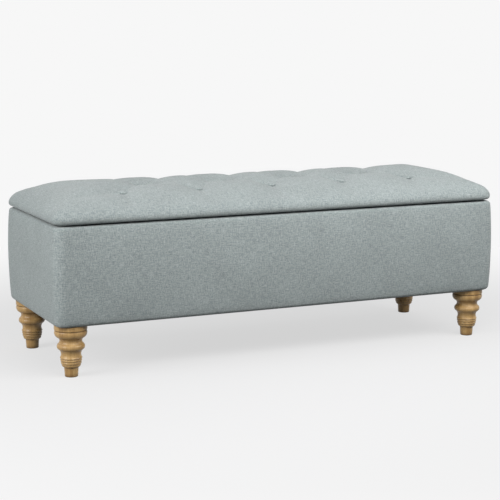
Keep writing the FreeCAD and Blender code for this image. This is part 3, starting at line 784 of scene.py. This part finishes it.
@dataclass
class TuftedLid:
    """The padded lid: a cover over foam, pulled down at the tufts and rolled under its edge."""

    step: float = 0.010
    edge_inset: float = 0.030
    corner_radius: float = 0.004
    side_drop: float = 0.054
    side_reach: float = 0.082
    end_fullness: float = 1.25
    tuft_spread: float = 0.042
    pleat_depth: float = 0.0095
    pleat_width: float = 0.012
    pillow: float = 0.004
    cloth: float = 0.001
    pressure: float = 4.0
    cap: float = 0.009
    frames: int = 20
    held_round_tuft: float = 0.011
    held_hem: float = 0.012
    roll_height: float = 0.030
    pillow_reach: float = 0.035
    pleat_reach: float = 0.04
    pleat_clear: float = 0.12
    low: Vector = field(default_factory=lambda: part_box("lid_cover")[0])
    high: Vector = field(default_factory=lambda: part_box("lid_cover")[1])
    rows: tuple[tuple[str, int], ...] = (("front", 5), ("middle", 4), ("back", 5))

    def tufts(self) -> dict[str, list[Vector]]:
        """Find each row's tufts from its buttons.

        Returns:
            The foot of each button, by row.
        """
        found = {}
        for row, count in self.rows:
            low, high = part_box(f"tuft_buttons_{row}")
            radius = (high.y - low.y) / 2
            pitch = (high.x - low.x - 2 * radius) / (count - 1)
            y = (low.y + high.y) / 2
            found[row] = [Vector((low.x + radius + pitch * k, y, low.z)) for k in range(count)]
        return found

    def pleats(self) -> list[tuple[Vector, Vector]]:
        """List the folds: diagonals between rows, and straight ones out to the lid's edges.

        Returns:
            Each fold's two ends.
        """
        rows = self.tufts()
        half_x, half_y = self.half()
        folds = []
        for outer in ("front", "back"):
            for k, tuft in enumerate(rows["middle"]):
                folds.append((rows[outer][k], tuft))
                folds.append((rows[outer][k + 1], tuft))
            side = math.copysign(half_y, rows[outer][0].y)
            for tuft in rows[outer]:
                folds.append((tuft, Vector((tuft.x, side, tuft.z))))
            for tuft in (rows[outer][0], rows[outer][-1]):
                end = math.copysign(half_x, tuft.x)
                folds.append((tuft, Vector((end, tuft.y + 0.25 * side, tuft.z))))
        return folds

    def half(self) -> Point2:
        """Measure the lid.

        Returns:
            Half its length and half its depth.
        """
        return (self.high.x - self.low.x) / 2, (self.high.y - self.low.y) / 2

    def edge_line(self) -> list[Point2]:
        """Draw the lid's rolled edge.

        Returns:
            How far out of the inner outline and how high, point by point.
        """
        bottom = self.low.z
        heights = (
            (0.000, 0.0435),
            (0.012, 0.0385),
            (0.023, 0.0310),
            (0.031, 0.0220),
            (0.035, 0.0130),
            (0.0345, 0.0060),
            (0.031, 0.0015),
            (0.021, 0.0001),
            (0.008, 0.0),
            (-0.004, 0.0),
        )
        return [(out, bottom + up) for out, up in heights]

    def fall(self, inset: float) -> float:
        """Find how far the dome lies under its crest.

        Args:
            inset: The distance in from the lid's side.

        Returns:
            The drop.
        """
        return self.side_drop * math.exp(-max(inset - 0.013, 0.0) / self.side_reach)

    def dome(self, x: float, y: float) -> float:
        """Find how high the top stands before it is tufted.

        Args:
            x: The place along the lid.
            y: The place across the lid.

        Returns:
            The height there.
        """
        half_x, half_y = self.half()
        along = self.fall(self.end_fullness * (half_x - abs(x)))
        across = self.fall(half_y - abs(y))
        return self.high.z - (along**10 + across**10) ** (1 / 10)

    @staticmethod
    def from_fold(x: float, y: float, fold: tuple[Vector, Vector]) -> Point2:
        """Measure a point against a fold.

        Args:
            x: The point's place along the lid.
            y: The point's place across the lid.
            fold: The fold's two ends.

        Returns:
            The distance to it, and how far along it the nearest place is, from 0 to 1.
        """
        start, end = fold
        run = Vector((end.x - start.x, end.y - start.y))
        away = Vector((x - start.x, y - start.y))
        share = min(max(away.dot(run) / run.length_squared, 0.0), 1.0)
        return (away - run * share).length, share

    def build(self) -> bpy.types.Object:
        """Drape a grid over the lid, fill it by simulation, then press in the pleats.

        Returns:
            The finished cover.
        """
        half_x, half_y = self.half()
        section = evenly(self.edge_line(), 200)
        reach = section[-1][0]
        inner_x = half_x - self.edge_inset - self.corner_radius
        inner_y = half_y - self.edge_inset - self.corner_radius
        full_x = inner_x + self.corner_radius + reach
        full_y = inner_y + self.corner_radius + reach
        deselect()
        bpy.ops.mesh.primitive_grid_add(
            x_subdivisions=round(2 * full_x / self.step),
            y_subdivisions=round(2 * full_y / self.step),
            size=2.0,
        )
        piece = bpy.context.object
        piece.scale = (full_x, full_y, 1.0)
        bpy.ops.object.transform_apply(location=False, rotation=False, scale=True)
        self.lay_weave(piece)
        trimmed = []
        for vertex in piece.data.vertices:
            flat = vertex.co.copy()
            nearest = Vector(
                (min(max(flat.x, -inner_x), inner_x), min(max(flat.y, -inner_y), inner_y), 0)
            )
            away = flat - nearest
            beyond = away.length - self.corner_radius
            if beyond > reach + 0.3 * self.step:
                trimmed.append(vertex.index)
            if beyond <= 0.0:
                vertex.co = Vector((flat.x, flat.y, self.dome(flat.x, flat.y)))
                continue
            out, height = at_length(section, beyond)
            edge = nearest + away.normalized() * (self.corner_radius + out)
            rim = nearest + away.normalized() * self.corner_radius
            lift = self.dome(rim.x, rim.y) - section[0][2]
            keep = max(0.0, 1.0 - beyond / 0.030)
            vertex.co = Vector((edge.x, edge.y, height + lift * keep * keep))
        self.trim(piece, set(trimmed))
        self.pull_down(piece)
        self.fill(piece)
        apply_modifier(piece, "SUBSURF", levels=1, render_levels=1)
        self.press_pleats(piece)
        apply_modifier(piece, "SOLIDIFY", thickness=self.cloth, offset=-1.0)
        piece = finished(piece, "lid_tufted_cover")
        smooth(piece, 80.0)
        return piece

    def lay_weave(self, piece: bpy.types.Object) -> None:
        """Lay the weave on the flat cloth, before it is draped.

        Args:
            piece: The flat cloth.
        """
        layer = piece.data.uv_layers.active or piece.data.uv_layers.new(name="UVMap")
        for loop in piece.data.loops:
            place = piece.data.vertices[loop.vertex_index].co
            layer.data[loop.index].uv = (place.x, place.y)

    def trim(self, piece: bpy.types.Object, spare: set[int]) -> None:
        """Cut away the cloth past the hem.

        Args:
            piece: The draped cloth.
            spare: The vertices that go.
        """
        bpy.context.view_layer.objects.active = piece
        bpy.ops.object.mode_set(mode="EDIT")
        select_in_edit(piece, "VERT", lambda v: v.index in spare)
        bpy.ops.mesh.delete(type="VERT")
        bpy.ops.object.mode_set(mode="OBJECT")

    def pull_down(self, piece: bpy.types.Object) -> None:
        """Draw the cloth down to the foot of each button and swell it between the folds.

        Args:
            piece: The draped cloth.
        """
        tufts = [tuft for row in self.tufts().values() for tuft in row]
        folds = self.pleats()
        for vertex in piece.data.vertices:
            x, y, z = vertex.co
            if z < self.low.z + self.roll_height:
                continue
            gap, tuft = min((math.dist((x, y), tuft.xy), k) for k, tuft in enumerate(tufts))
            foot = tufts[tuft]
            depth = self.dome(foot.x, foot.y) - foot.z
            near = math.exp(-((gap / self.tuft_spread) ** 1.25))
            fold = min(self.from_fold(x, y, fold)[0] for fold in folds)
            swell = self.pillow * (1.0 - math.exp(-((fold / self.pillow_reach) ** 2)))
            edge = min(1.0, (z - self.low.z - self.roll_height) / 0.015)
            vertex.co.z = z - depth * near + swell * edge

    def fill(self, piece: bpy.types.Object) -> None:
        """Blow the cloth up between its tufts by simulation, within a cap.

        Args:
            piece: The draped cloth.
        """
        tufts = [tuft for row in self.tufts().values() for tuft in row]
        before = [vertex.co.copy() for vertex in piece.data.vertices]
        held = piece.vertex_groups.new(name="held")
        for vertex in piece.data.vertices:
            x, y, z = vertex.co
            at_tuft = min(math.dist((x, y), tuft.xy) for tuft in tufts) < self.held_round_tuft
            if at_tuft or z < self.low.z + self.held_hem:
                held.add([vertex.index], 1.0, "REPLACE")
        deselect()
        piece.select_set(True)
        bpy.context.view_layer.objects.active = piece
        cloth = piece.modifiers.new("cloth", "CLOTH")
        cloth.settings.quality = 6
        cloth.settings.mass = 0.3
        cloth.settings.tension_stiffness = 12.0
        cloth.settings.compression_stiffness = 12.0
        cloth.settings.shear_stiffness = 6.0
        cloth.settings.bending_stiffness = 0.4
        cloth.settings.use_pressure = True
        cloth.settings.uniform_pressure_force = self.pressure
        cloth.settings.effector_weights.gravity = 0.0
        cloth.settings.vertex_group_mass = "held"
        cloth.point_cache.frame_start = 1
        cloth.point_cache.frame_end = self.frames
        scene = bpy.context.scene
        for number in range(1, self.frames + 1):
            scene.frame_set(number)
        bpy.ops.object.modifier_apply(modifier="cloth")
        scene.frame_set(1)
        piece.vertex_groups.clear()
        for vertex, was in zip(piece.data.vertices, before):
            moved = vertex.co - was
            if moved.length > self.cap:
                vertex.co = was + moved * (self.cap / moved.length)

    def press_pleats(self, piece: bpy.types.Object) -> None:
        """Press the folds in: deep near the tufts, shallow at mid-length, gone at the edges.

        Args:
            piece: The filled cloth.
        """
        folds = self.pleats()
        for vertex in piece.data.vertices:
            x, y, z = vertex.co
            edge = min(1.0, max(0.0, (z - self.low.z - 0.022) / 0.02))
            if edge == 0.0:
                continue
            sink = 0.0
            for k, fold in enumerate(folds):
                gap, share = self.from_fold(x, y, fold)
                if gap > self.pleat_reach:
                    continue
                if self.is_diagonal(fold):
                    along = 0.7 + 0.3 * math.cos(2 * math.pi * share)
                    clear = min(share, 1.0 - share)
                else:
                    along = 0.6 * max(0.0, 1.0 - share) ** 1.3
                    clear = share
                along *= min(1.0, clear / self.pleat_clear)
                sink = max(sink, self.pleat_depth * along * math.exp(-gap / self.pleat_width))
            vertex.co.z = z - sink * edge

    def is_diagonal(self, fold: tuple[Vector, Vector]) -> bool:
        """Tell a fold between two tufts from one that runs out to an edge.

        Args:
            fold: The fold's two ends.

        Returns:
            Whether it ends at a tuft of the middle row.
        """
        return abs(fold[1].y) < 0.01


@dataclass
class TuftButtons:
    """Covered buttons sunk in the tufts."""

    radius: float = 0.0125
    height: float = 0.0075
    sunk: float = 0.0048

    def one(self) -> bpy.types.Object:
        """Model one covered button, with its cloth drawn in underneath.

        Returns:
            The button, standing on the origin.
        """
        deselect()
        bpy.ops.mesh.primitive_uv_sphere_add(segments=32, ring_count=16, radius=self.radius)
        piece = bpy.context.object
        bpy.ops.object.mode_set(mode="EDIT")
        select_in_edit(piece, "VERT", lambda v: v.co.z < -0.4 * self.radius)
        bpy.ops.transform.resize(value=(0.82, 0.82, 0.4))
        bpy.ops.mesh.select_all(action="SELECT")
        squash = self.height / self.radius / 1.4
        bpy.ops.transform.resize(value=(1.0, 1.0, squash))
        bpy.ops.object.mode_set(mode="OBJECT")
        foot = min(vertex.co.z for vertex in piece.data.vertices)
        piece.data.transform(Matrix.Translation((0, 0, -foot)))
        return piece

    def build_row(self, row: str, feet: list[Vector]) -> bpy.types.Object:
        """Copy the button to each tuft of a row.

        Args:
            row: The row's name.
            feet: Where each button stands.

        Returns:
            One object with the row's buttons.
        """
        model = self.one()
        copies = []
        for foot in feet:
            copy = model.copy()
            copy.data = model.data.copy()
            copy.data.transform(Matrix.Translation(foot - Vector((0, 0, self.sunk))))
            bpy.context.scene.collection.objects.link(copy)
            copies.append(copy)
        bpy.data.objects.remove(model)
        deselect()
        for copy in copies:
            copy.select_set(True)
        bpy.context.view_layer.objects.active = copies[0]
        bpy.ops.object.join()
        piece = finished(copies[0], f"covered_buttons_{row}")
        layer = piece.data.uv_layers.active
        for loop in piece.data.loops:
            place = piece.data.vertices[loop.vertex_index].co
            layer.data[loop.index].uv = (place.x, place.y)
        smooth(piece, 60.0)
        return piece


# --------------------------------------------------------------------------- linings


@dataclass
class BoardLining:
    """Thin cloth stapled flat under a board, with a turned hem and faint ripples."""

    node: str
    body: str
    board: str
    cloth: float = 0.0006
    ripple: float = 0.0007
    hem: float = 0.012

    def build(self) -> bpy.types.Object:
        """Model the cloth on a fine grid within the place kept for it.

        Returns:
            The finished cloth.
        """
        low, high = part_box(self.node)
        length, width = high.x - low.x, high.y - low.y
        deselect()
        bpy.ops.mesh.primitive_grid_add(
            x_subdivisions=120, y_subdivisions=44, size=1.0, location=(low + high) / 2
        )
        piece = bpy.context.object
        piece.scale = (length, width, 1.0)
        bpy.ops.object.transform_apply(location=True, rotation=False, scale=True)
        for vertex in piece.data.vertices:
            x, y, _ = vertex.co
            inward = min(x - low.x, high.x - x, y - low.y, high.y - y)
            slack = min(1.0, inward / 0.06)
            wave = 0.5 + 0.5 * noise.noise(Vector((x * 7.0, y * 11.0, 0.3)))
            fold = 0.0003 if inward < self.hem else 0.0
            vertex.co.z = low.z - fold - self.ripple * slack * wave
        piece.data.flip_normals()
        apply_modifier(piece, "SOLIDIFY", thickness=self.cloth, offset=-1.0)
        piece = finished(piece, f"{self.node}_cloth")
        smooth(piece, 60.0)
        return piece


@dataclass
class ChestLining:
    """Thin cloth that lines the storage box: a floor and four walls, a little loose."""

    node: str = "storage_lining"
    body: str = "base"
    cloth: float = 0.001
    ripple: float = 0.0008
    cells: int = 44

    def build(self) -> bpy.types.Object:
        """Model the lining as an open box of fine cells, and let its cloth ripple.

        Returns:
            The finished lining.
        """
        low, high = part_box(self.node)
        half_x, half_y = high.x - self.cloth, high.y - self.cloth
        floor, rim = low.z + self.cloth, high.z
        deselect()
        bpy.ops.mesh.primitive_cube_add(size=1.0, location=(0, 0, (floor + rim) / 2))
        piece = bpy.context.object
        piece.scale = (2 * half_x, 2 * half_y, rim - floor)
        bpy.ops.object.transform_apply(location=True, rotation=False, scale=True)
        bpy.ops.object.mode_set(mode="EDIT")
        select_in_edit(piece, "FACE", lambda f: f.normal.z > 0.5)
        bpy.ops.mesh.delete(type="FACE")
        bpy.ops.mesh.select_all(action="SELECT")
        bpy.ops.mesh.subdivide(number_cuts=self.cells)
        bpy.ops.mesh.normals_make_consistent(inside=True)
        bpy.ops.object.mode_set(mode="OBJECT")
        for vertex in piece.data.vertices:
            x, y, z = vertex.co
            gaps = sorted((half_x - abs(x), half_y - abs(y), z - floor))
            slack = min(1.0, gaps[1] / 0.05, (rim - z) / 0.03)
            wave = 0.5 + 0.5 * noise.noise(Vector((x * 8.0, y * 8.0, z * 5.0)))
            loose = self.ripple * max(slack, 0.0) * wave
            if z - floor < 1e-5:
                vertex.co.z += loose
            elif half_x - abs(x) < 1e-5:
                vertex.co.x -= math.copysign(loose, x)
            else:
                vertex.co.y -= math.copysign(loose, y)
        apply_modifier(piece, "SOLIDIFY", thickness=0.9 * self.cloth, offset=-1.0)
        piece = finished(piece, "storage_lining_cloth")
        smooth(piece, 60.0)
        return piece


# --------------------------------------------------------------------------- studio


@dataclass
class Studio:
    """Floor, backdrop, lamps and camera."""

    azimuth: float = 24.402
    elevation: float = 9.267
    distance: float = 4.105
    aim: tuple[float, float, float] = (-0.0113, 0.0, 0.2608)
    lens: float = 105.61

    def add_camera(self) -> None:
        """Stand the camera to the front and left, a little above the seat."""
        turn, tilt = math.radians(self.azimuth), math.radians(self.elevation)
        look = Vector(
            (math.sin(turn) * math.cos(tilt), math.cos(turn) * math.cos(tilt), -math.sin(tilt))
        )
        data = bpy.data.cameras.new("camera")
        data.lens = self.lens
        data.sensor_width = 36.0
        data.clip_end = 50.0
        camera = bpy.data.objects.new("camera", data)
        camera.location = Vector(self.aim) - look * self.distance
        camera.rotation_euler = (math.pi / 2 - tilt, 0.0, -turn)
        bpy.context.scene.collection.objects.link(camera)
        bpy.context.scene.camera = camera

    @staticmethod
    def add_softbox(name: str, place: tuple, aim: tuple, size: Point2, power: float) -> None:
        """Hang a softbox.

        Args:
            name: Its name.
            place: Where it hangs.
            aim: What it points at.
            size: Its width and height.
            power: Its power in watts.
        """
        data = bpy.data.lights.new(name, "AREA")
        data.shape = "RECTANGLE"
        data.size, data.size_y = size
        data.energy = power
        lamp = bpy.data.objects.new(name, data)
        lamp.location = place
        lamp.visible_camera = False
        lamp.rotation_euler = (Vector(aim) - Vector(place)).to_track_quat("-Z", "Y").to_euler()
        bpy.context.scene.collection.objects.link(lamp)

    def add_lamps(self) -> None:
        """Hang a broad softbox overhead, one at the left end and a weak one in front."""
        self.add_softbox("overhead", (-0.3, 0.5, 2.6), (0.0, 0.0, 0.4), (2.2, 1.0), 3.0)
        self.add_softbox("left_side", (-3.0, -0.6, 1.3), (-0.6, 0.0, 0.3), (1.6, 1.6), 64.0)
        self.add_softbox("front_high", (0.4, -1.1, 1.2), (0.1, 0.0, 0.38), (2.6, 0.5), 25.0)

    def add_floor(self) -> None:
        """Lay a pale floor that keeps a light shadow."""
        deselect()
        bpy.ops.mesh.primitive_plane_add(size=60.0, location=(0, 0, 0))
        floor = bpy.context.object
        floor.name = "floor"
        material = bpy.data.materials.new("pale_floor")
        material.use_nodes = True
        tree = material.node_tree
        tree.nodes.clear()
        output = tree.nodes.new("ShaderNodeOutputMaterial")
        seen = tree.nodes.new("ShaderNodeMixShader")
        lit = tree.nodes.new("ShaderNodeBsdfDiffuse")
        lit.inputs["Color"].default_value = (0.62, 0.615, 0.62, 1.0)
        glow = tree.nodes.new("ShaderNodeEmission")
        glow.inputs["Color"].default_value = linear((247, 247, 247))
        plain = tree.nodes.new("ShaderNodeBsdfDiffuse")
        plain.inputs["Color"].default_value = (0.12, 0.12, 0.12, 1.0)
        place = tree.nodes.new("ShaderNodeTexCoord")
        away = tree.nodes.new("ShaderNodeVectorMath")
        away.operation = "LENGTH"
        tree.links.new(place.outputs["Object"], away.inputs[0])
        fade = tree.nodes.new("ShaderNodeMapRange")
        fade.interpolation_type = "SMOOTHSTEP"
        fade.inputs["From Min"].default_value = 0.7
        fade.inputs["From Max"].default_value = 1.9
        fade.inputs["To Min"].default_value = 0.68
        fade.inputs["To Max"].default_value = 1.0
        tree.links.new(away.outputs["Value"], fade.inputs["Value"])
        tree.links.new(fade.outputs["Result"], seen.inputs["Fac"])
        tree.links.new(lit.outputs["BSDF"], seen.inputs[1])
        tree.links.new(glow.outputs["Emission"], seen.inputs[2])
        path = tree.nodes.new("ShaderNodeLightPath")
        eye = tree.nodes.new("ShaderNodeMath")
        eye.operation = "MAXIMUM"
        tree.links.new(path.outputs["Is Camera Ray"], eye.inputs[0])
        tree.links.new(path.outputs["Is Glossy Ray"], eye.inputs[1])
        choose = tree.nodes.new("ShaderNodeMixShader")
        tree.links.new(eye.outputs["Value"], choose.inputs["Fac"])
        tree.links.new(plain.outputs["BSDF"], choose.inputs[1])
        tree.links.new(seen.outputs["Shader"], choose.inputs[2])
        tree.links.new(choose.outputs["Shader"], output.inputs["Surface"])
        floor.data.materials.append(material)

    def add_world(self) -> None:
        """Light the room softly, and show a pale backdrop."""
        world = bpy.data.worlds.new("room")
        bpy.context.scene.world = world
        world.use_nodes = True
        tree = world.node_tree
        tree.nodes.clear()
        output = tree.nodes.new("ShaderNodeOutputWorld")
        room = tree.nodes.new("ShaderNodeBackground")
        room.inputs["Color"].default_value = (0.95, 0.97, 1.0, 1.0)
        room.inputs["Strength"].default_value = 0.31
        backdrop = tree.nodes.new("ShaderNodeBackground")
        backdrop.inputs["Color"].default_value = linear((247, 247, 247))
        path = tree.nodes.new("ShaderNodeLightPath")
        eye = tree.nodes.new("ShaderNodeMath")
        eye.operation = "MAXIMUM"
        tree.links.new(path.outputs["Is Camera Ray"], eye.inputs[0])
        tree.links.new(path.outputs["Is Glossy Ray"], eye.inputs[1])
        choose = tree.nodes.new("ShaderNodeMixShader")
        tree.links.new(eye.outputs["Value"], choose.inputs["Fac"])
        tree.links.new(room.outputs["Background"], choose.inputs[1])
        tree.links.new(backdrop.outputs["Background"], choose.inputs[2])
        tree.links.new(choose.outputs["Shader"], output.inputs["Surface"])

    def build(self) -> None:
        """Set the stage."""
        self.add_camera()
        self.add_lamps()
        self.add_floor()
        self.add_world()
        bpy.context.scene.view_settings.view_transform = "Standard"


def dress_frame(materials: dict[str, bpy.types.Material]) -> None:
    """Give each piece of the construction model its finish.

    Args:
        materials: The materials by the record's slots.
    """
    for row in frame["record"]["subparts"]:
        piece = frame["nodes"][row["node"]]
        piece.data.materials.clear()
        piece.data.materials.append(materials[row["material_slot"]])


def main() -> None:
    """Build the ottoman's finished look around its construction model."""
    logging.basicConfig(level=logging.INFO, format="%(name)s: %(message)s")
    Studio().build()
    log.info("studio set")
    materials = {slot: finish.make() for slot, finish in FINISHES.items()}
    dress_frame(materials)
    log.info("%d finishes made", len(materials))
    cover = BoxCover().build()
    dress(cover, materials["upholstery"], "base")
    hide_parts("body_cover")
    log.info("box cover made")
    lid = TuftedLid()
    top = lid.build()
    dress(top, materials["upholstery"], "lid")
    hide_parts("lid_cover", "lid_foam")
    log.info("tufted lid made")
    linings = (
        (BoardLining("lid_lining", "lid", "lid_board"), "lining"),
        (BoardLining("dust_cover", "base", "bottom_panel", ripple=0.0018), "dust_fabric"),
        (ChestLining(), "lining"),
    )
    for lining, slot in linings:
        cloth = lining.build()
        dress(cloth, materials[slot], lining.body)
        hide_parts(lining.node)
        log.info("%s made", lining.node)
    buttons = TuftButtons()
    for row, feet in lid.tufts().items():
        piece = buttons.build_row(row, feet)
        dress(piece, materials["upholstery"], "lid")
        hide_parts(f"tuft_buttons_{row}")
    log.info("buttons made")


if __name__ == "__main__":
    main()
